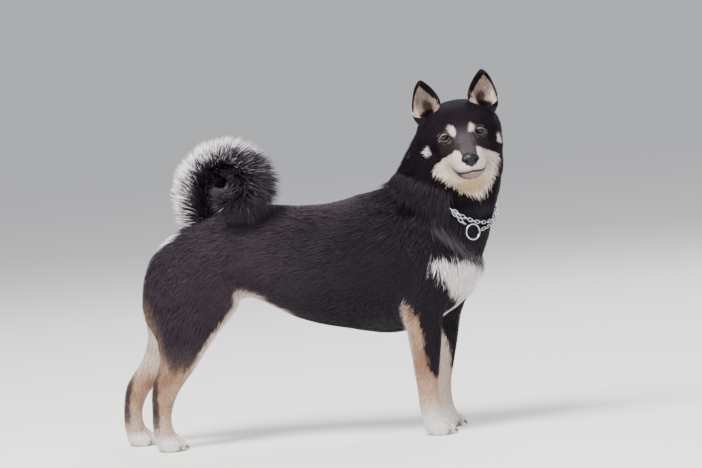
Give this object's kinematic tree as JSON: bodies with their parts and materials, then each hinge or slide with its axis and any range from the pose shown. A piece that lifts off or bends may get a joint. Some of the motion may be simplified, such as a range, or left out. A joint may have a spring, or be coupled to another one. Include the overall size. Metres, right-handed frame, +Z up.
{
  "type": "shiba inu",
  "caption": "Life-size black and tan shiba inu standing square, head turned to its right, tail curled over the back, with a steel chain collar.",
  "frame": {"origin": "on the floor, at the middle of the footprint of the whole dog's box", "axes": "+X towards the chest, +Y towards the dog's left side, +Z up"},
  "size_m": [0.6424, 0.2148, 0.5542],
  "materials": {
    "coat_black": "dense black fur with a soft sheen",
    "coat_tan": "short tan and cream fur, black down the front of the legs",
    "nose": "damp black leather",
    "eye": "wet dark brown",
    "steel": "polished steel"
  },
  "bodies": {
    "root": {"head": "coat_black", "neck": "coat_black", "torso": "coat_black", "ear_left": "coat_black", "ear_right": "coat_black", "tail_root": "coat_black", "tail_curl": "coat_black", "leg_front_left": "coat_tan", "leg_front_right": "coat_tan", "leg_hind_left": "coat_tan", "leg_hind_right": "coat_tan", "eye_left": "eye", "eye_right": "eye", "nose": "nose", "collar_chain": "steel", "collar_ring": "steel"}
  },
  "joints": []
}
